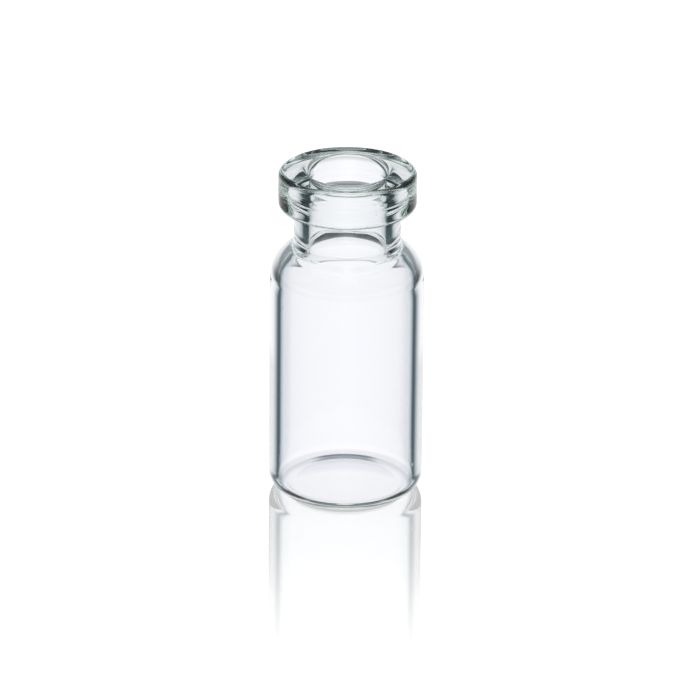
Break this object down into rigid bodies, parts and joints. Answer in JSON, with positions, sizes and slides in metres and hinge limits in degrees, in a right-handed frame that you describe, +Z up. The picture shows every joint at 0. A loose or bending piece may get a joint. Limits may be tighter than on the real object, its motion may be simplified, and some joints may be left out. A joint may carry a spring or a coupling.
{
  "type": "glass sample vial",
  "caption": "Open clear glass sample vial: straight body on a rounded, pushed-up base, drawn-in shoulder, short neck and a thick rounded crimp flange round a plain bore.",
  "frame": {"origin": "centre of the standing ring, on the bench", "axes": "+Z up the vial's axis, out of the mouth; the vial is the same all the way round"},
  "size_m": [0.0144, 0.0144, 0.032],
  "materials": {
    "clear_glass": "clear, fire-polished, very faint green tint"
  },
  "bodies": {
    "root": {"vial": "clear_glass"}
  },
  "joints": []
}
